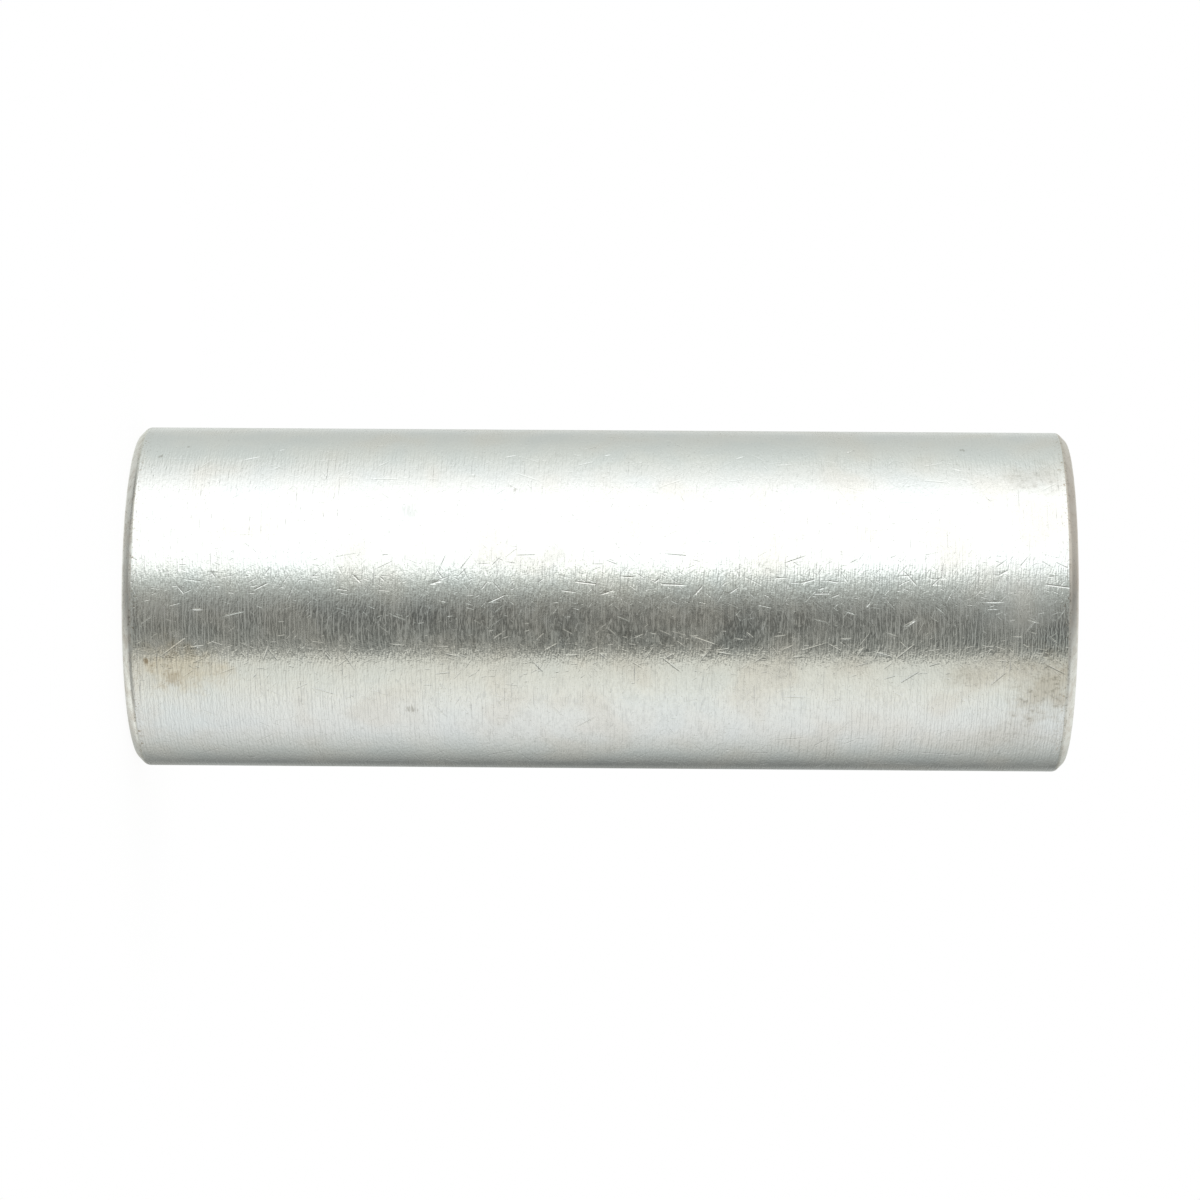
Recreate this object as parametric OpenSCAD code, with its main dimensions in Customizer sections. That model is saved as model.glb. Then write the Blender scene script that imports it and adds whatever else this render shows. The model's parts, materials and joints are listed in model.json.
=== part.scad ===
// Splined bushing: a turned steel sleeve, chamfered on its outer edges, with straight-sided
// spline grooves broached through its bore. It stands on one end face, with its axis along Z.

/* [Sleeve] */
// Length between the two end faces
length = 150; // [60:1:300]
// Thickness of the wall behind the groove roots
wall = 10; // [5:0.25:20]

/* [Outer edges] */
// Size of the 45 degree chamfer on each outer edge
edge_chamfer = 1.4; // [0.8:0.1:3]
// Radius that softens both corners of the outer chamfer
edge_round = 1; // [0.1:0.05:1.2]

/* [Spline] */
// Number of grooves, equally spaced
groove_count = 6; // [3:1:8]
// Width of each groove between its flat flanks
groove_width = 8.7; // [5:0.05:10]
// Depth of each groove below the lands, on the radius
groove_depth = 2.65; // [1.5:0.05:4]
// Radius in both root corners of each groove
root_round = 0.4; // [0.1:0.05:0.8]
// Diameter of the bore across the lands between the grooves
bore_d = 29.7; // [26:0.05:50]

/* [Bore mouths] */
// Angle of the lead-in cone, from the axis
mouth_angle = 45; // [30:1:60]
// How far each mouth opens beyond the groove roots, on the radius
mouth_margin = 1; // [0.25:0.05:2.5]

/* [Hidden] */

// Facets of a full circle, and of each small rounded corner
$fn = 144;
corner_steps = 5;

bore_r = bore_d / 2;
root_r = bore_r + groove_depth;
outer_r = root_r + wall;
mouth_r = root_r + mouth_margin;
mouth_depth = (mouth_r - bore_r) / tan(mouth_angle);

// How far a cutter runs past the surface that it opens
overrun = 1;
// Share of its radius by which a root corner's arc crosses the root, so that they meet at an angle
corner_bite = 0.15;

// Points along an arc about a centre, from one angle to another
function arc(centre, radius, from, to) = [
  for (i = [0:corner_steps])
    let (a = from + (to - from) * i / corner_steps)
      centre + radius * [cos(a), sin(a)]
];

// Half outline of the turned blank: radius across, height up, with both chamfers softened
function blank_outline() =
  let (
    tangent = edge_round * tan(22.5),
    wall_arc_r = outer_r - edge_round,
    face_arc_r = outer_r - edge_chamfer - tangent,
    wall_arc_z = edge_chamfer + tangent
  )
  concat(
    [[0, 0]],
    arc([face_arc_r, edge_round], edge_round, -90, -45),
    arc([wall_arc_r, wall_arc_z], edge_round, -45, 0),
    arc([wall_arc_r, length - wall_arc_z], edge_round, 0, 45),
    arc([face_arc_r, length - edge_round], edge_round, 45, 90),
    [[0, length]]
  );

// One groove pointing along +X, from the axis out to its root, with rounded root corners
module groove_section() {
  half_width = groove_width / 2;
  corner_y = half_width - root_round;
  corner_reach = root_r - root_round * (1 - corner_bite);
  corner_x = sqrt(pow(corner_reach, 2) - pow(corner_y, 2));
  corner_angle = atan2(corner_y, corner_x);
  past_root = (root_r + overrun) / cos(corner_angle);
  past_corner = past_root * [cos(corner_angle), sin(corner_angle)];
  upper = concat(
    [past_corner],
    arc([corner_x, corner_y], root_round, corner_angle, 90),
    [[0, half_width]]
  );
  lower = [for (i = [len(upper) - 1:-1:0]) [upper[i].x, -upper[i].y]];
  intersection() {
    circle(r = root_r);
    polygon(concat(upper, lower));
  }
}

// The whole opening in cross-section: the round bore and the ring of grooves
module spline_section() {
  circle(r = bore_r);
  for (i = [0:groove_count - 1])
    rotate(i * 360 / groove_count) groove_section();
}

// Lead-in cone at the lower end, cut past the face so that it opens cleanly
module mouth() {
  flare = overrun * tan(mouth_angle);
  translate([0, 0, -overrun])
    cylinder(h = mouth_depth + overrun, r1 = mouth_r + flare, r2 = bore_r);
}

module splined_bushing() {
  color("silver")
    difference() {
      rotate_extrude() polygon(blank_outline());
      translate([0, 0, -overrun])
        linear_extrude(length + 2 * overrun) spline_section();
      mouth();
      translate([0, 0, length]) mirror([0, 0, 1]) mouth();
    }
}

splined_bushing();
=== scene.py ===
import json
import math
import random

import bpy
from mathutils import Euler, Matrix, Vector


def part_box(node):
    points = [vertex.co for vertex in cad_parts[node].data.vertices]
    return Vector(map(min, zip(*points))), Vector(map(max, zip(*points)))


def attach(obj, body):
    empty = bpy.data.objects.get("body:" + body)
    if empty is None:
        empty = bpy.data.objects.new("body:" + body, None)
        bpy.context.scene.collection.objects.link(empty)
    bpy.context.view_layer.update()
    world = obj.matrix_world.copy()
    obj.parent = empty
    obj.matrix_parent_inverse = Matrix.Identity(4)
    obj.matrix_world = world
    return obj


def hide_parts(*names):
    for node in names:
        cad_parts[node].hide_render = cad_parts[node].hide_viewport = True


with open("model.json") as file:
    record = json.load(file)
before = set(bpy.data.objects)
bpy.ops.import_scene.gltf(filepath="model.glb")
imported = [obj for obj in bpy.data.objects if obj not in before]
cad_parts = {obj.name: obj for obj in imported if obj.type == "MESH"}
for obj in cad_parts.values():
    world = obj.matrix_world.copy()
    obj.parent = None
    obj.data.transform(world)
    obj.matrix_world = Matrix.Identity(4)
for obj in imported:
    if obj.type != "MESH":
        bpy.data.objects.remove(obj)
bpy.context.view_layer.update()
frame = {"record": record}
print("frame loaded")

mm = 0.001
micrometre = 1e-6
weldReach = 0.02 * mm   # points closer than this count as one
quarterTurn = 0.25      # of a full turn, as the shader counts it
rowMounts = {mount["name"]: mount for mount in frame["record"]["mounts"]}
lowCorner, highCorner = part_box("splined_bushing")
sleeveLength = highCorner.z - lowCorner.z
outerRadius = rowMounts["outside"]["dims"]["r_mm"] * mm
boreRadius = rowMounts["spline_bore"]["dims"]["r_mm"] * mm


# small helpers for working by selection

def deselectAll():
    bpy.ops.object.select_all(action="DESELECT")


def makeActive(thing):
    deselectAll()
    thing.select_set(True)
    bpy.context.view_layer.objects.active = thing


def newPiece(name):
    piece = bpy.context.object
    piece.name = name
    piece.data.name = name
    return piece


def settle(thing):  # puts the object's place into its mesh
    makeActive(thing)
    bpy.ops.object.transform_apply(location=True, rotation=True, scale=True)


def selectEdges(thing, wanted):  # leaves edit mode on, with the wanted edges selected
    makeActive(thing)
    bpy.ops.object.mode_set(mode="EDIT")
    bpy.ops.mesh.select_mode(type="EDGE")
    bpy.ops.mesh.select_all(action="DESELECT")
    bpy.ops.object.mode_set(mode="OBJECT")
    points = thing.data.vertices
    for edge in thing.data.edges:
        edge.select = wanted(*(points[i].co for i in edge.vertices))
    bpy.ops.object.mode_set(mode="EDIT")


def combine(body, tool, operation):
    makeActive(body)
    boolean = body.modifiers.new(operation.lower(), "BOOLEAN")
    boolean.operation = operation
    boolean.solver = "EXACT"
    boolean.object = tool
    bpy.ops.object.modifier_apply(modifier=boolean.name)
    bpy.data.objects.remove(tool)


def near(value, target):
    return abs(value - target) < weldReach


def onEnd(height):
    return near(height, 0) or near(height, sleeveLength)


def radiusOf(point):
    return math.hypot(point.x, point.y)


class Wire:  # one socket of a node tree; sums and products of wires become Math nodes
    def __init__(self, tree, socket=None):
        self.tree = tree
        self.socket = socket

    def node(self, kind, settings=None, inputs=None, out=0):
        made = self.tree.nodes.new(kind)
        for name, value in (settings or {}).items():
            if name == "stops":
                fillRamp(made.color_ramp, value)
            else:
                setattr(made, name, value)
        for name, value in (inputs or {}).items():
            if isinstance(value, Wire):
                self.tree.links.new(value.socket, made.inputs[name])
            else:
                made.inputs[name].default_value = value
        return Wire(self.tree, made.outputs[out] if made.outputs else None)

    def math(self, operation, *values):
        return self.node("ShaderNodeMath", {"operation": operation}, dict(enumerate(values)))

    def __add__(self, other):
        return self.math("ADD", self, other)

    def __radd__(self, other):
        return self.math("ADD", other, self)

    def __sub__(self, other):
        return self.math("SUBTRACT", self, other)

    def __rsub__(self, other):
        return self.math("SUBTRACT", other, self)

    def __mul__(self, other):
        return self.math("MULTIPLY", self, other)

    def __rmul__(self, other):
        return self.math("MULTIPLY", other, self)

    def __abs__(self):
        return self.math("ABSOLUTE", self)

    def rise(self, low, high, ease="SMOOTHSTEP"):  # 0 below low, 1 above high, eased between
        ends = {"Value": self, "From Min": low, "From Max": high}
        return self.node("ShaderNodeMapRange", {"interpolation_type": ease}, ends)

    def fall(self, low, high):
        return 1 - self.rise(low, high)

    def also(self, out):  # another output of the same node
        return Wire(self.tree, self.socket.node.outputs[out])

    def parts(self):
        first = self.node("ShaderNodeSeparateXYZ", None, {0: self})
        return first, first.also(1), first.also(2)

    def vector(self, x, y, z):
        return self.node("ShaderNodeCombineXYZ", None, {0: x, 1: y, 2: z})

    def times(self, other):  # colours and vectors, part by part
        return self.node("ShaderNodeVectorMath", {"operation": "MULTIPLY"}, {0: self, 1: other})

    def noise(self, cells, detail, roughness=0.5):  # cells: how long one is each way
        settings = {"Vector": self.times(tuple(1 / cell for cell in cells)), "Scale": 1}
        return self.node("ShaderNodeTexNoise", None, {**settings, "Detail": detail, "Roughness": roughness})

    def tinted(self, colour, share):  # a colour, mixed with another by a share
        return self.node("ShaderNodeMix", {"data_type": "RGBA"}, {0: share, 6: self, 7: colour}, out=2)

    def blend(self, first, second):  # between two fixed colours, by this wire
        return self.node("ShaderNodeMix", {"data_type": "RGBA"}, {0: self, 6: first, 7: second}, out=2)


def fillRamp(ramp, stops):
    while len(ramp.elements) < len(stops):
        ramp.elements.new(1)
    for element, (position, colour) in zip(ramp.elements, stops):
        element.position = position
        element.color = colour


def newFinish(name):
    finish = bpy.data.materials.new(name)
    finish.use_nodes = True
    shader = finish.node_tree.nodes["Principled BSDF"]
    return finish, shader, Wire(finish.node_tree)


def feed(shader, name, wire):
    wire.tree.links.new(wire.socket, shader.inputs[name])


# finishes: bright zinc plate over machined steel, each with the marks of its own cut

zinc = {
    "pale": (0.78, 0.80, 0.775, 1),
    "warm": (0.77, 0.75, 0.69, 1),
    "cool": (0.73, 0.77, 0.765, 1),
    "bluish": (0.74, 0.80, 0.80, 1),
    "greyed": (0.55, 0.53, 0.47, 1),
    "yellowed": (0.66, 0.60, 0.47, 1),
    "brown": (0.34, 0.27, 0.18, 1),
    "grime": (0.30, 0.29, 0.25, 1),
}


def objectPlace(start):  # object coordinates in millimetres
    place = start.node("ShaderNodeTexCoord", out="Object")
    return start.node("ShaderNodeMapping", None, {"Vector": place, "Scale": (1 / mm, 1 / mm, 1 / mm)})


def wallPlace(start, place):  # how far round from the front, up the axis, and from the nearer end
    x, y, z = place.parts()
    around = start.math("ARCTAN2", x * -1, y * -1) * (outerRadius / mm)
    return around, z, start.math("MINIMUM", z, sleeveLength / mm - z)


def relief(shader, height):  # a height in micrometres becomes the shader's bump
    bump = {"Strength": 1, "Distance": micrometre, "Height": height}
    feed(shader, "Normal", height.node("ShaderNodeBump", None, bump))


def blot(around, along, mark, ragged):  # strongest in the middle of a mark, gone at its ragged rim
    aroundAt, alongAt, halfWidth, halfHeight, strength = mark
    across = (around - aroundAt) * (1 / halfWidth)
    upwards = (along - alongAt) * (1 / halfHeight)
    spread = around.math("SQRT", across * across + upwards * upwards) + ragged
    return spread.fall(0.1, 1.15) * strength


def strokes(start, around, along, cell, length, width):
    # one short straight scratch in each cell of a loose grid, at its own angle and strength
    spot = start.vector(around * (1 / cell), along * (1 / cell), 0)
    colour = start.node(
        "ShaderNodeTexVoronoi", {"voronoi_dimensions": "2D"}, {"Vector": spot, "Scale": 1}, out="Color")
    lot, strength, reach = colour.parts()
    middle = colour.also("Position")
    offset = start.node("ShaderNodeVectorMath", {"operation": "SUBTRACT"}, {0: spot, 1: middle})
    dx, dy = offset.parts()[:2]
    angle = lot * math.pi
    cosine = start.math("COSINE", angle)
    sine = start.math("SINE", angle)
    lengthways = abs(dx * cosine + dy * sine) * cell
    sideways = abs(dy * cosine - dx * sine) * cell
    halfLength = reach * (length / 2) + length / 6
    inLength = (lengthways - halfLength).fall(-0.3 * length, 0)
    inWidth = sideways.fall(0, width / 2)
    return inLength * inWidth * strength.rise(0.25, 1)


turnedWall = {                  # lengths in millimetres, heights in micrometres
    "roughness": 0.16,
    "lineCells": (7, 7, 0.30),          # turning lines: long round the wall, narrow along the axis
    "lineHeight": 70,
    "breakCells": (1.8, 1.8, 0.8),      # how often they fade out and start again
    "hairCells": (0.9, 0.9, 0.22),      # shorter and finer lines between them
    "hairHeight": 37,
    "grainCells": (0.26, 0.26, 0.26),   # grain of the plate
    "grainHeight": 13,
    "mottleCells": (2.9, 2.9, 2.9),     # cloudiness of the plate
    "patchCells": (9, 9, 9),            # warmer and cooler areas
    "speckCells": (0.36, 0.36, 0.36),   # dirt in the pores
    "fleckCells": (0.7, 0.7, 0.9),      # darker flecks inside the stains
    "warmShare": 0.45,
    "coolShare": 0.6,
    "grainSoot": 0.06,                  # how much grime shows in the grain, the clouds and the pores
    "mottleSoot": 0.12,
    "speckSoot": 0.35,
    "washShare": 0.9,                   # how strongly a stain's wash shows, and then its flecks
    "fleckShare": 0.75,
    "scratchDull": 0.06,                # roughness that a scratch adds
    "anisotropy": 0.3,
    # scratches: size of the loose grid, length, width, depth
    "scratches": [
        (1.1, 1.2, 0.19, 15),
        (2.2, 2.4, 0.23, 19),
        (4.6, 4.4, 0.34, 30),
    ],
    # marks: round from the front, up the axis, half width, half height, strength, colours
    "stains": [
        (-2, 78, 9, 30, 0.45, "warm", "warm"),
        (-22, 8, 5, 8, 0.5, "bluish", "cool"),
        (-11.5, 9.5, 5.5, 7.5, 0.65, "yellowed", "brown"),
        (-14, 145, 8, 6.5, 0.95, "greyed", "grime"),
        (-12, 133, 2.5, 5, 0.4, "greyed", "grime"),
        (-24, 141, 6, 8, 0.4, "greyed", "grime"),
        (22, 143.5, 4.5, 5, 0.4, "greyed", "grime"),
    ],
    "spots": [
        (-10.5, 4, 0.7, 0.6, 0.8, "brown"),
        (-13.5, 8, 1.6, 1.5, 0.4, "brown"),
        (-19, 45.5, 0.8, 1.0, 0.55, "grime"),
        (14.5, 45, 1.6, 1.4, 0.2, "grime"),
        (18.5, 61.5, 0.5, 0.3, 0.55, "grime"),
        (29.5, 132.5, 0.5, 0.5, 0.5, "grime"),
        (26, 5, 0.5, 0.5, 0.6, "grime"),
        (29, 9, 0.5, 0.4, 0.6, "grime"),
    ],
    "haze": (0, 139, 7, 11, 0.20),      # a duller patch, added to the roughness
    "mottleDull": 0.3,                  # how much the clouds and the patches change the roughness
    "patchDull": 0.4,
    "edgeGrime": (1.4, 3.6),            # from the ends: full up to the first, gone by the second
}


def zincWall():
    finish, shader, start = newFinish("turned_zinc")
    look = turnedWall
    place = objectPlace(start)
    around, along, fromEnd = wallPlace(start, place)
    lines = place.noise(look["lineCells"], 0)
    breaks = place.noise(look["breakCells"], 1).rise(0.36, 0.62)
    hairs = place.noise(look["hairCells"], 0)
    grain = place.noise(look["grainCells"], 0)
    mottle = place.noise(look["mottleCells"], 3, 0.6)
    patches = place.noise(look["patchCells"], 1, 0.6)
    specks = place.noise(look["speckCells"], 2)
    flecks = place.noise(look["fleckCells"], 2, 0.6).rise(0.5, 0.72)

    colour = (patches.rise(0.5, 0.68) * look["warmShare"]).blend(zinc["pale"], zinc["warm"])
    colour = colour.tinted(zinc["cool"], patches.fall(0.32, 0.5) * look["coolShare"])
    soot = grain.rise(0.5, 0.8) * look["grainSoot"] + mottle.rise(0.6, 0.85) * look["mottleSoot"]
    soot = soot + specks.rise(0.65, 0.74) * look["speckSoot"]
    colour = colour.tinted(zinc["grime"], soot)
    for *mark, wash, fleck in look["stains"]:
        spread = blot(around, along, mark, (mottle - 0.5) * 2)
        colour = colour.tinted(zinc[wash], spread * look["washShare"])
        colour = colour.tinted(zinc[fleck], spread * flecks * look["fleckShare"])
    for *mark, tint in look["spots"]:
        colour = colour.tinted(zinc[tint], blot(around, along, mark, (hairs - 0.5) * 2))
    clusters = specks.rise(0.5, 0.64) * (flecks * 0.85 + 0.15)
    colour = colour.tinted(zinc["brown"], fromEnd.fall(*look["edgeGrime"]) * clusters)
    feed(shader, "Base Color", colour)

    # the turning lines fade here and there, and cut deeper on some patches
    deep = (breaks * 0.6 + 0.4) * (patches.rise(0.38, 0.62) * 0.6 + 0.8)
    height = (lines - 0.5) * deep * look["lineHeight"]
    height = height + hairs * look["hairHeight"] + grain * look["grainHeight"]
    rough = look["roughness"] + (mottle - 0.5) * look["mottleDull"] + (patches - 0.5) * look["patchDull"]
    rough = rough + blot(around, along, look["haze"], (mottle - 0.5) * 3)
    for cell, length, width, depth in look["scratches"]:
        scratches = strokes(start, around + cell, along, cell, length, width)
        height = height - scratches * depth
        rough = rough + scratches * look["scratchDull"]
    feed(shader, "Roughness", rough)
    relief(shader, height)
    shader.inputs["Metallic"].default_value = 1
    shader.inputs["Anisotropic"].default_value = look["anisotropy"]
    shader.inputs["Anisotropic Rotation"].default_value = quarterTurn
    return finish


chamferEdge = {
    "roughness": 0.33,
    "clean": (0.75, 0.76, 0.70, 1),
    "dull": (0.66, 0.64, 0.57, 1),
    "mottleCells": (2, 2, 1.1),
    "mottleHeight": 10,
    "lineCells": (6.5, 6.5, 0.2),
    "lineHeight": 10,
    "speckCells": (0.36, 0.36, 0.36),
    "speckShare": 0.5,
    "rimShare": 0.5,                    # grime where the chamfer meets the wall
    "rimReach": (1.0, 1.5),             # millimetres from the end over which it sets in
    "film": (0.58, 0.51, 0.43, 1),      # a brown film over half of the upper end
    "filmShare": 0.6,
    "filmAlong": (100, 140),            # where it sets in, up the axis and round from the front
    "filmAround": (-8, 6),
    "mottleDull": 0.3,                  # how much the clouds change the roughness
}


def zincEdge():
    finish, shader, start = newFinish("chamfer_zinc")
    look = chamferEdge
    place = objectPlace(start)
    around, along, fromEnd = wallPlace(start, place)
    mottle = place.noise(look["mottleCells"], 5, 0.65)
    lines = place.noise(look["lineCells"], 2, 0.6)
    specks = place.noise(look["speckCells"], 2)
    colour = mottle.rise(0.42, 0.66).blend(look["clean"], look["dull"])
    film = along.rise(*look["filmAlong"]) * around.rise(*look["filmAround"])
    colour = colour.tinted(look["film"], film * look["filmShare"])
    rim = fromEnd.rise(*look["rimReach"]) * specks.rise(0.46, 0.62) * mottle.rise(0.4, 0.6)
    dirt = specks.rise(0.60, 0.72) * look["speckShare"] + rim * look["rimShare"]
    colour = colour.tinted(zinc["grime"], dirt)
    feed(shader, "Base Color", colour)
    feed(shader, "Roughness", look["roughness"] + (mottle - 0.5) * look["mottleDull"])
    relief(shader, lines * look["lineHeight"] + mottle * look["mottleHeight"])
    shader.inputs["Metallic"].default_value = 1
    return finish


facedEnd = {
    "roughness": 0.3,
    "ringCells": (16, 16, 0.25),        # facing marks: rings about the axis
    "ringHeight": 7,
    "mottleCells": (2, 2, 2),
    "mottleHeight": 3,
    "patchCells": (12, 12, 12),
    "warmShare": 0.5,
    "grimeShare": 0.25,
    "ringDull": 0.3,                    # how much the rings and the clouds change the roughness
    "mottleDull": 0.15,
    "anisotropy": 0.5,
}


def zincFace():
    finish, shader, start = newFinish("faced_zinc")
    look = facedEnd
    place = objectPlace(start)
    x, y = place.parts()[:2]
    radius = start.math("SQRT", x * x + y * y)
    rings = start.vector(x, y, radius).noise(look["ringCells"], 3, 0.6)
    mottle = place.noise(look["mottleCells"], 4, 0.6)
    patches = place.noise(look["patchCells"], 3, 0.55)
    colour = (patches.rise(0.42, 0.66) * look["warmShare"]).blend(zinc["pale"], zinc["warm"])
    colour = colour.tinted(zinc["grime"], mottle.rise(0.58, 0.85) * look["grimeShare"])
    feed(shader, "Base Color", colour)
    rough = look["roughness"] + (rings - 0.5) * look["ringDull"] + (mottle - 0.5) * look["mottleDull"]
    feed(shader, "Roughness", rough)
    relief(shader, rings * look["ringHeight"] + mottle * look["mottleHeight"])
    shader.inputs["Metallic"].default_value = 1
    shader.inputs["Anisotropic"].default_value = look["anisotropy"]
    shader.inputs["Anisotropic Rotation"].default_value = quarterTurn
    return finish


broachedBore = {
    "roughness": 0.32,
    "clean": (0.64, 0.64, 0.61, 1),
    "dull": (0.46, 0.44, 0.39, 1),
    "dragCells": (0.28, 0.28, 20),      # drag marks of the broach, along the axis
    "dragHeight": 8,
    "mottleCells": (2.5, 2.5, 4),
    "mottleHeight": 3,
    "grimeShare": 0.35,
    "dragDull": 0.3,                    # how much the drag marks change the roughness
}


def zincBore():
    finish, shader, start = newFinish("broached_zinc")
    look = broachedBore
    place = objectPlace(start)
    drag = place.noise(look["dragCells"], 3, 0.6)
    mottle = place.noise(look["mottleCells"], 4, 0.6)
    colour = mottle.rise(0.4, 0.7).blend(look["clean"], look["dull"])
    colour = colour.tinted(zinc["grime"], drag.rise(0.6, 0.8) * look["grimeShare"])
    feed(shader, "Base Color", colour)
    feed(shader, "Roughness", look["roughness"] + (drag - 0.5) * look["dragDull"])
    relief(shader, drag * look["dragHeight"] + mottle * look["mottleHeight"])
    shader.inputs["Metallic"].default_value = 1
    return finish


def dress(piece):
    for finish in (zincWall(), zincEdge(), zincFace(), zincBore()):
        piece.data.materials.append(finish)
    wall, edge, end, bore = range(4)
    onPlane = 0.05 * mm
    edgeReach = sleeve["edgeChamfer"] + sleeve["edgeRound"] * 0.2   # a little way onto the rounded corner
    for face in piece.data.polygons:
        radius = radiusOf(face.center)
        fromEnd = min(face.center.z, sleeveLength - face.center.z)
        if radius < sleeve["mouthRadius"] - onPlane:
            face.material_index = bore
        elif fromEnd < onPlane:
            face.material_index = end
        elif fromEnd < edgeReach:
            face.material_index = edge
        else:
            face.material_index = wall


# the sleeve: turned blank, broached bore, lead-in cones

sleeve = {
    "edgeChamfer": 1.4 * mm,    # 45 degree chamfer round each outer edge
    "edgeRound": 1 * mm,        # radius on both corners of that chamfer
    "groovePairs": 3,           # opposite grooves are broached together
    "grooveWidth": 8.7 * mm,
    "rootRadius": 17.5 * mm,
    "rootRound": 0.4 * mm,      # radius in the groove's root corners
    "landRound": 0.2 * mm,      # edge break along the lands
    "mouthRadius": 18.5 * mm,   # lead-in cone where it meets the end face
    "mouthRound": 0.2 * mm,
    "wallSides": 512,
    "boreSides": 192,
    "cornerSteps": 4,           # facets round a chamfer or root corner
    "breakSteps": 2,            # facets round a small edge break
    "wallRings": 48,            # cuts along the wall, so that the nicks stay local
    "overrun": 2 * mm,          # how far the cutters run past the ends
    "coneTip": 1 * mm,          # how far a lead-in cone's tool runs on inside the bore
    "smoothAngle": 20,          # degrees: a sharper edge than this stays crisp
}
halfChamfer = math.radians(22.5)    # half of the turn at each corner of a 45 degree chamfer


def cylinderAt(name, radius, sides, low, high):
    deselectAll()
    bpy.ops.mesh.primitive_cylinder_add(
        vertices=sides, radius=radius, depth=high - low, location=(0, 0, (low + high) / 2))
    piece = newPiece(name)
    settle(piece)
    return piece


def turnBlank():
    blank = cylinderAt("bushing_sleeve", outerRadius, sleeve["wallSides"], 0, sleeveLength)
    selectEdges(blank, lambda a, b: onEnd(a.z) and near(a.z, b.z))
    bpy.ops.mesh.bevel(offset=sleeve["edgeChamfer"], segments=1, affect="EDGES")
    bpy.ops.object.mode_set(mode="OBJECT")
    # both corners of each chamfer are rounded off
    selectEdges(blank, lambda a, b: near(a.z, b.z) and not near(a.z, sleeveLength / 2))
    cornerReach = sleeve["edgeRound"] * math.tan(halfChamfer)
    bpy.ops.mesh.bevel(offset=cornerReach, segments=sleeve["cornerSteps"], affect="EDGES")
    bpy.ops.object.mode_set(mode="OBJECT")
    return blank


def grooveSlab(turn):  # a slab with round ends: it broaches two opposite grooves
    low, high = -sleeve["overrun"], sleeveLength + sleeve["overrun"]
    slab = cylinderAt("groove_slab", sleeve["rootRadius"], sleeve["boreSides"], low, high)
    halfWidth = sleeve["grooveWidth"] / 2
    bpy.ops.object.mode_set(mode="EDIT")
    for side in (1, -1):
        bpy.ops.mesh.select_all(action="SELECT")
        bpy.ops.mesh.bisect(
            plane_co=(0, side * halfWidth, 0), plane_no=(0, side, 0), use_fill=True, clear_outer=True)
    bpy.ops.object.mode_set(mode="OBJECT")
    rootCorner = math.sqrt(sleeve["rootRadius"] ** 2 - halfWidth ** 2)
    atCorner = lambda p: near(abs(p.x), rootCorner) and near(abs(p.y), halfWidth)
    selectEdges(slab, lambda a, b: atCorner(a) and atCorner(b) and not near(a.z, b.z))
    cornerAngle = math.pi / 2 + math.asin(halfWidth / sleeve["rootRadius"])
    cornerReach = sleeve["rootRound"] / math.tan(cornerAngle / 2)
    bpy.ops.mesh.bevel(offset=cornerReach, segments=sleeve["cornerSteps"], affect="EDGES")
    bpy.ops.object.mode_set(mode="OBJECT")
    slab.rotation_euler.z = turn
    settle(slab)
    return slab


def broachTool():
    low, high = -sleeve["overrun"], sleeveLength + sleeve["overrun"]
    broach = cylinderAt("broach", boreRadius, sleeve["boreSides"], low, high)
    turns = [math.pi * pair / sleeve["groovePairs"] for pair in range(sleeve["groovePairs"])]
    for turn in turns:
        combine(broach, grooveSlab(turn), "UNION")
    # the edges where the flanks leave the bore become the broken edges of the lands
    halfWidth = sleeve["grooveWidth"] / 2
    onFlank = lambda p: any(near(abs(p.y * math.cos(t) - p.x * math.sin(t)), halfWidth) for t in turns)
    onLand = lambda p: near(radiusOf(p), boreRadius) and onFlank(p)
    selectEdges(broach, lambda a, b: onLand(a) and onLand(b) and not near(a.z, b.z))
    bpy.ops.mesh.bevel(offset=sleeve["landRound"], segments=sleeve["breakSteps"], affect="EDGES")
    bpy.ops.object.mode_set(mode="OBJECT")
    return broach


def mouthTool(end, inward):  # lead-in cone at 45 degrees, from past the end face to inside the bore
    deselectAll()
    past = sleeve["overrun"]
    depth = sleeve["mouthRadius"] - boreRadius + sleeve["coneTip"]
    wide, narrow = sleeve["mouthRadius"] + past, sleeve["mouthRadius"] - depth
    middle = end + inward * (depth - past) / 2
    bpy.ops.mesh.primitive_cone_add(
        vertices=sleeve["boreSides"], depth=depth + past, location=(0, 0, middle),
        radius1=wide if inward > 0 else narrow, radius2=narrow if inward > 0 else wide)
    cone = newPiece("mouth_cone")
    settle(cone)
    return cone


def machineSleeve():
    blank = turnBlank()
    combine(blank, broachTool(), "DIFFERENCE")
    combine(blank, mouthTool(0, 1), "DIFFERENCE")
    combine(blank, mouthTool(sleeveLength, -1), "DIFFERENCE")
    onMouth = lambda p: near(radiusOf(p), sleeve["mouthRadius"]) and onEnd(p.z)
    selectEdges(blank, lambda a, b: onMouth(a) and onMouth(b))
    bpy.ops.mesh.bevel(offset=sleeve["mouthRound"], segments=sleeve["breakSteps"], affect="EDGES")
    bpy.ops.object.mode_set(mode="OBJECT")
    onWall = lambda p: near(radiusOf(p), outerRadius)
    selectEdges(blank, lambda a, b: onWall(a) and onWall(b) and abs(a.z - b.z) > sleeveLength / 2)
    bpy.ops.mesh.subdivide(number_cuts=sleeve["wallRings"] - 1)
    bpy.ops.mesh.select_all(action="SELECT")
    bpy.ops.mesh.remove_doubles(threshold=weldReach)
    bpy.ops.object.mode_set(mode="OBJECT")
    return blank


# handling nicks, struck into the wall and along both outer edges

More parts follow.
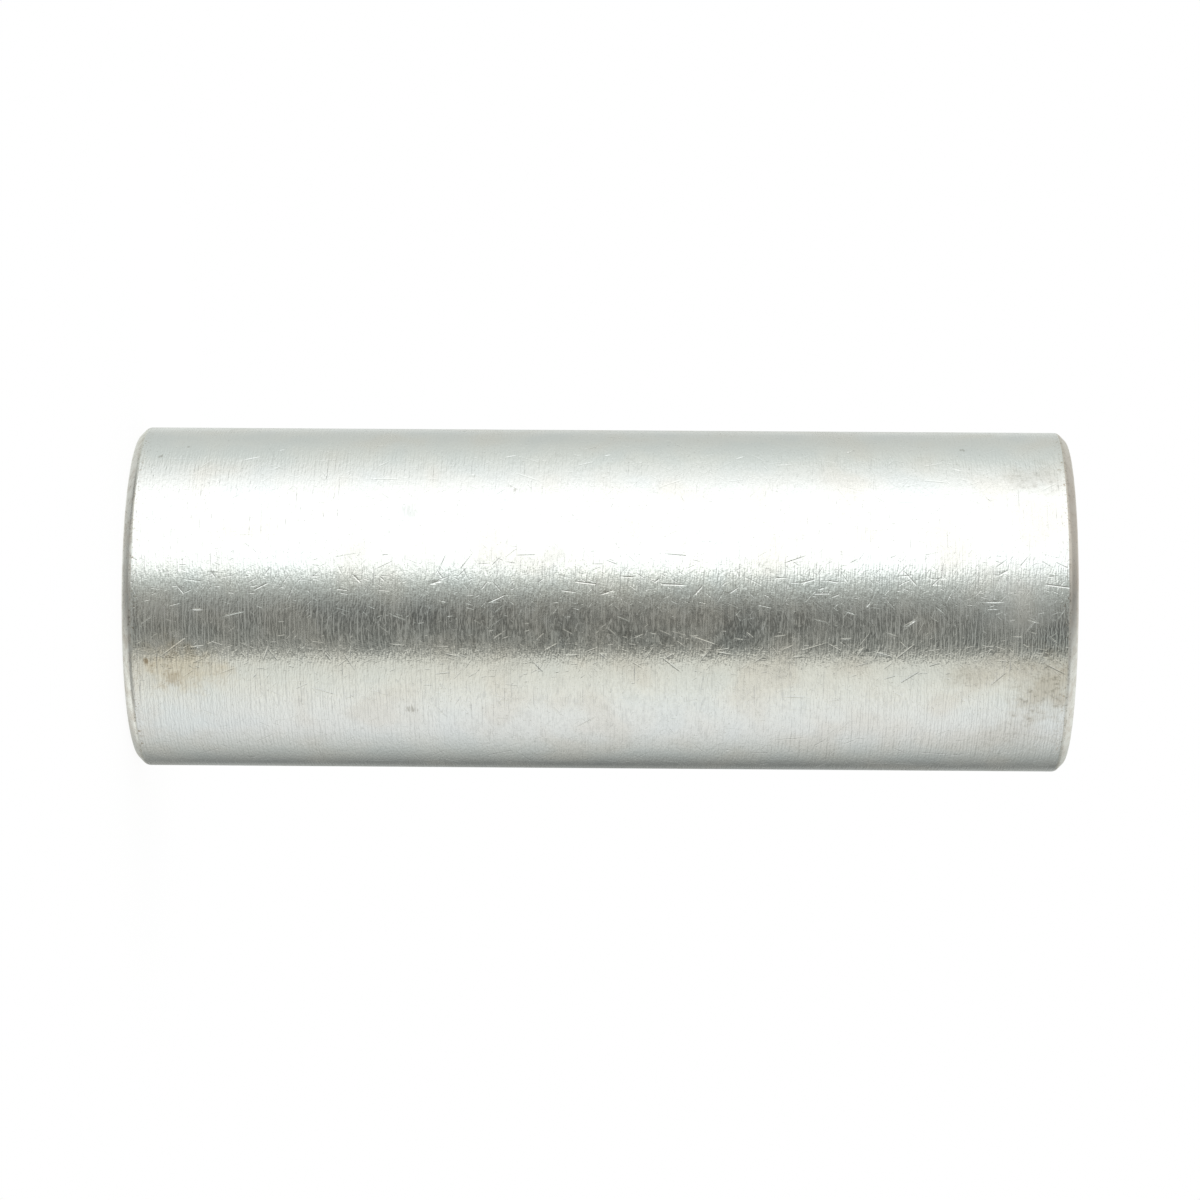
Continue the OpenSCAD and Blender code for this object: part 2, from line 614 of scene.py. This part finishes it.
nicks = {
    "seed": 11,
    # the ones that show most: millimetres round from the front, up the axis, length, degrees from the axis
    "seen": [
        (1, 9.5, 2.4, -50), (-8, 12, 2.5, 10), (-2, 12, 2.7, 0), (3.5, 14.5, 1.6, -55),
        (25.5, 19.5, 4, 20), (4, 23, 2, 55), (28, 24, 1.5, 25), (-9.5, 32.5, 2.2, -55),
        (3, 37, 2.5, -45), (3, 41, 1.4, -45), (-7.5, 43.5, 2.5, -5), (2.5, 49.5, 2.2, 20),
        (-9, 51.5, 1.8, -15), (4, 53.5, 2.5, 45), (2, 57, 2.2, 55), (0, 59, 3.8, 25),
        (-11, 65.5, 3.5, -50), (-9, 71, 1, 10), (-9, 75.5, 1.6, -45), (-6, 76.5, 1.8, -75),
        (1, 76, 3.4, 20), (3.5, 79.5, 1.6, 0), (3, 84, 1, 45), (-9, 86, 1.3, 35),
        (1.5, 90.5, 3, 50), (-9, 91.5, 4, 50), (3, 93, 2.1, 5), (-8.5, 94.5, 2, -10),
        (1.5, 96, 2.4, 35), (-5.5, 98.5, 2.4, -40), (-9.5, 100, 2.3, 35), (-6.5, 101.5, 3.4, -10),
        (-8, 102.5, 2, -55), (3.5, 103, 2, 0), (-9, 106, 2.2, 10), (3, 107.5, 3.1, 15),
        (3, 111.5, 1.9, -10), (2, 113, 2.4, 45), (-6, 113.5, 2.6, 5), (-8, 116, 2.6, 55),
        (-0.5, 117, 1.8, 55), (-8.5, 119.5, 3.5, -15), (4, 123, 1.8, 5), (-3.5, 123.5, 4, 30),
        (3, 127.5, 2.2, 45), (-8, 136, 1.4, 60), (0, 136.5, 4, 0), (4.5, 138, 2.3, 30),
        (-9.5, 138.5, 1.2, -10), (6.5, 141.5, 5, 50), (4, 145.5, 1.1, 0), (21, 31.5, 2, 80),
        (26.5, 60.5, 2.5, 20), (27, 71, 1.5, -30), (27, 76, 1.5, 15), (32.5, 85.5, 1, 10),
        (26.5, 97, 2, 30), (30, 108, 2, 70), (28.5, 114.5, 1.6, 15), (25.5, 121, 2.5, 55),
        (20, 124, 2, 15), (23.5, 131.5, 1.5, -20),
    ],
    "seenWidth": (0.26 * mm, 0.44 * mm),
    "seenDepth": (0.09, 0.15),      # share of the width, as the next
    "depth": (0.03, 0.09),
    "wallCount": 170,
    "edgeCount": 30,                # along each outer edge
    "length": (0.6 * mm, 5 * mm),
    "width": (0.12 * mm, 0.30 * mm),
    "edgeLength": (0.3 * mm, 1.1 * mm),
    "edgeDepth": (0.08, 0.16),
    "edgeSink": 0.03 * mm,          # edge nicks start this far inside the wall, on the rounded corner
    "clearOfEdge": 3 * mm,          # wall nicks keep this far from the ends
    "clearOfOthers": 0.8 * mm,
    "toolHeight": 3,                # half height of the tool, in depths of its nick
    "toolLift": 2,                  # its middle stands this many depths above the surface
}


def nickTools():
    dice = random.Random(nicks["seed"])
    deselectAll()
    bpy.ops.mesh.primitive_ico_sphere_add(subdivisions=2, radius=1)
    master = newPiece("nick_tool")
    struck = []
    tools = []
    halfSteps = 3   # points on each half of a nick, for keeping clear of the others

    def strike(turn, lean, radius, height, length, width, depth, tilt):
        # turn runs round the axis from the front, lean tips the blow up or down
        outward = Vector((-math.sin(turn) * math.cos(lean), -math.cos(turn) * math.cos(lean), math.sin(lean)))
        aside = Vector((-math.cos(turn), math.sin(turn), 0))
        upward = aside.cross(outward)
        place = Vector((-math.sin(turn) * radius, -math.cos(turn) * radius, height))
        lengthways = upward * math.cos(tilt) + aside * math.sin(tilt)
        widthways = outward.cross(lengthways)
        # the lifted tool leaves shallow sides, and is made larger so that the nick keeps its size
        spread = 1 / math.sqrt(1 - (nicks["toolLift"] / nicks["toolHeight"]) ** 2)
        steps = range(-halfSteps, halfSteps + 1)
        points = [place + lengthways * length * spread * step / (2 * halfSteps) for step in steps]
        if any((point - other).length < nicks["clearOfOthers"] for point in points for other in struck):
            return
        struck.extend(points)
        tall = outward * depth * nicks["toolHeight"]
        axes = (lengthways * length / 2 * spread, widthways * width / 2 * spread, tall)
        tool = master.copy()
        tool.data = master.data.copy()
        bpy.context.scene.collection.objects.link(tool)
        shape = Matrix(axes).transposed().to_4x4()
        tool.data.transform(Matrix.Translation(place + outward * depth * nicks["toolLift"]) @ shape)
        tools.append(tool)

    for around, along, length, tilt in nicks["seen"]:
        width = dice.uniform(*nicks["seenWidth"])
        strike(
            turn=around * mm / outerRadius, lean=0, radius=outerRadius, height=along * mm, length=length * mm,
            width=width, depth=width * dice.uniform(*nicks["seenDepth"]), tilt=math.radians(tilt))
    shortest, longest = nicks["length"]
    for strikeNumber in range(nicks["wallCount"]):
        width = dice.uniform(*nicks["width"])
        strike(
            turn=dice.uniform(-math.pi, math.pi), lean=0, radius=outerRadius,
            height=dice.uniform(nicks["clearOfEdge"], sleeveLength - nicks["clearOfEdge"]),
            length=shortest + (longest - shortest) * dice.random() ** 3,    # most of them short
            width=width, depth=width * dice.uniform(*nicks["depth"]), tilt=dice.uniform(0, math.pi))
    corner = sleeve["edgeChamfer"]
    for end, upwards in ((corner, -1), (sleeveLength - corner, 1)):
        for strikeNumber in range(nicks["edgeCount"]):
            width = dice.uniform(*nicks["width"])
            strike(
                turn=dice.uniform(-math.pi, math.pi), lean=upwards * halfChamfer,
                radius=outerRadius - nicks["edgeSink"], height=end, length=dice.uniform(*nicks["edgeLength"]),
                width=width, depth=width * dice.uniform(*nicks["edgeDepth"]), tilt=dice.uniform(0, math.pi))
    bpy.data.objects.remove(master)
    makeActive(tools[0])
    for tool in tools:
        tool.select_set(True)
    bpy.ops.object.join()
    return newPiece("nick_tools")


bushing = machineSleeve()
print("sleeve machined:", len(bushing.data.polygons), "faces")
combine(bushing, nickTools(), "DIFFERENCE")
makeActive(bushing)
bpy.ops.object.shade_smooth_by_angle(angle=math.radians(sleeve["smoothAngle"]))
flatten = bushing.modifiers.new("flatten", "WEIGHTED_NORMAL")
flatten.keep_sharp = True
bpy.ops.object.modifier_apply(modifier=flatten.name)
print("nicks struck:", len(bushing.data.polygons), "faces")
dress(bushing)
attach(bushing, "root")
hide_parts("splined_bushing")

# the camera stands square to the axis and is turned on its side, so that the sleeve lies across the picture

camera = {
    "distance": 679 * mm,       # from the sleeve's axis
    "lens": 125.1,
    "roll": 0.39,               # degrees by which the upper end dips in the picture
    "yaw": 0.8,                 # degrees by which the upper end leans towards the lens
    "aside": (0.27 * mm, 0.13 * mm),    # how far right and up of the picture's middle the sleeve sits
}


def placeCamera():
    eye = bpy.data.objects.new("camera", bpy.data.cameras.new("camera"))
    bpy.context.scene.collection.objects.link(eye)
    eye.data.lens = camera["lens"]
    # picture right is up the axis, picture up is -X, and the lens looks along +Y
    onItsSide = Matrix(((0, -1, 0), (0, 0, -1), (1, 0, 0)))
    lean = Euler((0, math.radians(camera["yaw"]), math.radians(camera["roll"])), "YXZ").to_matrix()
    turn = onItsSide @ lean
    right, up = camera["aside"]
    middle = Vector((0, 0, sleeveLength / 2))
    place = middle - turn @ Vector((right, up, -camera["distance"]))
    eye.matrix_world = Matrix.Translation(place) @ turn.to_4x4()
    bpy.context.scene.camera = eye


placeCamera()
bpy.context.scene.view_settings.view_transform = "Standard"
print("camera placed")

# a light tent stands round the sleeve, brighter on the two softbox sides and dim behind the camera

tent = {
    "radius": 1.2,
    "segments": 96,
    "rings": 48,
    "brightest": 1.6,
    "endsFull": 20,             # degrees of height over which the light changes from level to ends
    "sidesFrom": 22,            # then from ends to the picture's left and right
    "sidesFull": 44,
    "sidesMeet": 0.1,           # metres from the middle over which left changes to right
    "poleFrom": 68,             # and last to the poles
    "poleFull": 90,
    "pole": 0.10,
    "lean": 7,                  # degrees for each metre by which the softboxes lean along the axis
    # each ring: degrees from the camera towards the picture's top, light
    "level": [
        (-180, 0.45), (-150, 0.19), (-134, 0.43), (-116, 0.72), (-102, 0.91), (-90, 0.99),
        (-69, 1.03), (-50, 0.93), (-43, 0.91), (-39, 0.60), (-36, 0.28), (-26, 0.10), (-12, 0.11),
        (-4, 0.22), (2, 0.38), (8, 0.63), (13, 0.88), (17, 1.22), (20, 1.56), (24, 1.60), (36, 1.40),
        (45, 1.40), (76, 1.40), (82, 1.28), (90, 1.13), (102, 1.01), (116, 0.83), (134, 0.68),
        (150, 0.66), (162, 0.74), (180, 0.60),
    ],
    "ends": [
        (-180, 0.80), (-165, 0.60), (-150, 0.30), (-134, 0.40), (-120, 0.55), (-105, 0.68),
        (-92, 0.76), (-55, 0.76), (-42, 0.64), (-34, 0.44), (-20, 0.38), (-6, 0.40), (4, 0.46),
        (12, 0.54), (17, 0.72), (20, 0.98), (28, 1.28), (36, 1.36), (55, 1.40), (76, 1.38),
        (105, 0.76), (150, 0.72), (165, 0.90), (180, 0.90),
    ],
    "left": [
        (-180, 0.95), (-158, 0.80), (-147, 0.50), (-135, 1.28), (-120, 1.44), (-105, 0.74),
        (-90, 0.40), (-40, 0.35), (10, 0.35), (30, 0.85), (80, 0.60), (95, 0.10), (105, 0.16),
        (120, 0.62), (135, 0.78), (150, 0.80), (180, 0.95),
    ],
    "right": [
        (-180, 0.95), (-150, 1.10), (-135, 0.92), (-120, 0.93), (-105, 1.00), (-90, 0.70),
        (-40, 0.40), (10, 0.45), (30, 0.90), (80, 0.95), (95, 0.55), (105, 0.60), (120, 0.66),
        (135, 0.68), (150, 0.80), (180, 0.95),
    ],
    # the cloth's own tints, on the same scale
    "tints": [
        (-180, "mint"), (-130, "mint"), (-100, "plain"), (-80, "ivory"), (-60, "warm"),
        (-42, "beige"), (-26, "cool"), (-11, "warm"), (10, "green"), (28, "plain"), (84, "plain"),
        (110, "mint"), (180, "mint"),
    ],
    "plain": (1, 1, 1, 1),
    "mint": (0.975, 1, 0.965, 1),
    "ivory": (1, 1, 0.985, 1),
    "warm": (1, 0.99, 0.925, 1),
    "beige": (1, 0.98, 0.89, 1),
    "cool": (0.985, 1, 0.93, 1),
    "green": (0.955, 1, 0.955, 1),
}


def emptyPaint(name):
    paint = bpy.data.materials.new(name)
    paint.use_nodes = True
    paint.node_tree.nodes.clear()
    return paint, Wire(paint.node_tree)


def pitchTent():
    deselectAll()
    bpy.ops.mesh.primitive_uv_sphere_add(
        segments=tent["segments"], ring_count=tent["rings"], radius=tent["radius"],
        location=(0, 0, sleeveLength / 2))
    shell = newPiece("light_tent")
    cloth, start = emptyPaint("tent_cloth")
    x, y, z = start.node("ShaderNodeTexCoord", out="Object").parts()
    upright = start.math("ARCTAN2", x * -1, y * -1) * (0.5 / math.pi) + 0.5
    leaning = upright - z * (tent["lean"] / 360)

    def grey(light):
        return (light / tent["brightest"],) * 3 + (1,)

    def ring(turn, stops):
        placed = [((angle + 180) / 360, colour) for angle, colour in stops]
        return start.node("ShaderNodeValToRGB", {"stops": placed}, {0: turn})

    def greyRing(turn, name):
        return ring(turn, [(angle, grey(light)) for angle, light in tent[name]])

    level, ends = [greyRing(leaning, name) for name in ("level", "ends")]
    left, right = [greyRing(upright, name) for name in ("left", "right")]
    tints = ring(upright, [(angle, tent[tint]) for angle, tint in tent["tints"]])
    height = abs(start.math("ARCSINE", z * (1 / tent["radius"])) * (180 / math.pi))
    light = level.tinted(ends, height.rise(0, tent["endsFull"], ease="LINEAR")).times(tints)
    sides = left.tinted(right, z.rise(-tent["sidesMeet"], tent["sidesMeet"]))
    light = light.tinted(sides, height.rise(tent["sidesFrom"], tent["sidesFull"]))
    light = light.tinted(grey(tent["pole"]), height.rise(tent["poleFrom"], tent["poleFull"]))
    glow = start.node("ShaderNodeEmission", None, {"Color": light, "Strength": tent["brightest"]})
    start.node("ShaderNodeOutputMaterial", None, {0: glow})
    cloth.cycles.emission_sampling = "NONE"     # it is all round, so rays find it by themselves
    shell.data.materials.append(cloth)
    shell.visible_camera = False


floorLook = {
    "size": 12,
    "white": 0.85,
    "level": 0.58,              # how bright that paint looks in the tent, clear of the sleeve
    "shadowKept": 0.18,         # share of the plain shading that shows beside the sleeve
    "fadeFrom": 0.03,
    "fadeTo": 0.10,             # past this the floor is the plain white of the background
}


def seenRays(start):  # what the camera sees, directly or in metal and glass
    rays = [start.node("ShaderNodeLightPath", out=ray) for ray in
            ("Is Camera Ray", "Is Glossy Ray", "Is Transmission Ray")]
    return start.math("MAXIMUM", start.math("MAXIMUM", rays[0], rays[1]), rays[2])


def layFloor():
    deselectAll()
    bpy.ops.mesh.primitive_plane_add(size=floorLook["size"])
    ground = newPiece("floor")
    paint, start = emptyPaint("floor_white")
    x, y = start.node("ShaderNodeTexCoord", out="Object").parts()[:2]
    radius = start.math("SQRT", x * x + y * y)
    kept = radius.fall(floorLook["fadeFrom"], floorLook["fadeTo"]) * floorLook["shadowKept"]
    inBore = radius.fall(boreRadius, sleeve["mouthRadius"])
    plain = start.node("ShaderNodeBsdfDiffuse", None, {"Color": (floorLook["white"],) * 3 + (1,)})
    # the white is set so that it makes up for the paint's own level, and only the shadow darkens it
    lift = (1 - kept * floorLook["level"]) * start.math("DIVIDE", 1, 1 - kept)
    white = start.node("ShaderNodeEmission", None, {"Strength": lift})
    share = seenRays(start) * (1 - kept) * (1 - inBore)
    surface = start.node("ShaderNodeMixShader", None, {0: share, 1: plain, 2: white})
    start.node("ShaderNodeOutputMaterial", None, {0: surface})
    ground.data.materials.append(paint)
    ground.visible_glossy = False   # the wall shows the tent alone, as if hung in the middle of it


sky = {
    "level": 0.6,               # what the sky gives as light
    "seenMore": 0.4,            # and what is added where it is seen, which makes it plain white
}


def paintWorld():
    world = bpy.data.worlds.new("studio")
    bpy.context.scene.world = world
    world.use_nodes = True
    world.node_tree.nodes.clear()
    start = Wire(world.node_tree)
    strength = seenRays(start) * sky["seenMore"] + sky["level"]
    glow = start.node("ShaderNodeBackground", None, {"Color": (1, 1, 1, 1), "Strength": strength})
    start.node("ShaderNodeOutputWorld", None, {0: glow})


pitchTent()
layFloor()
paintWorld()
print("studio lit")
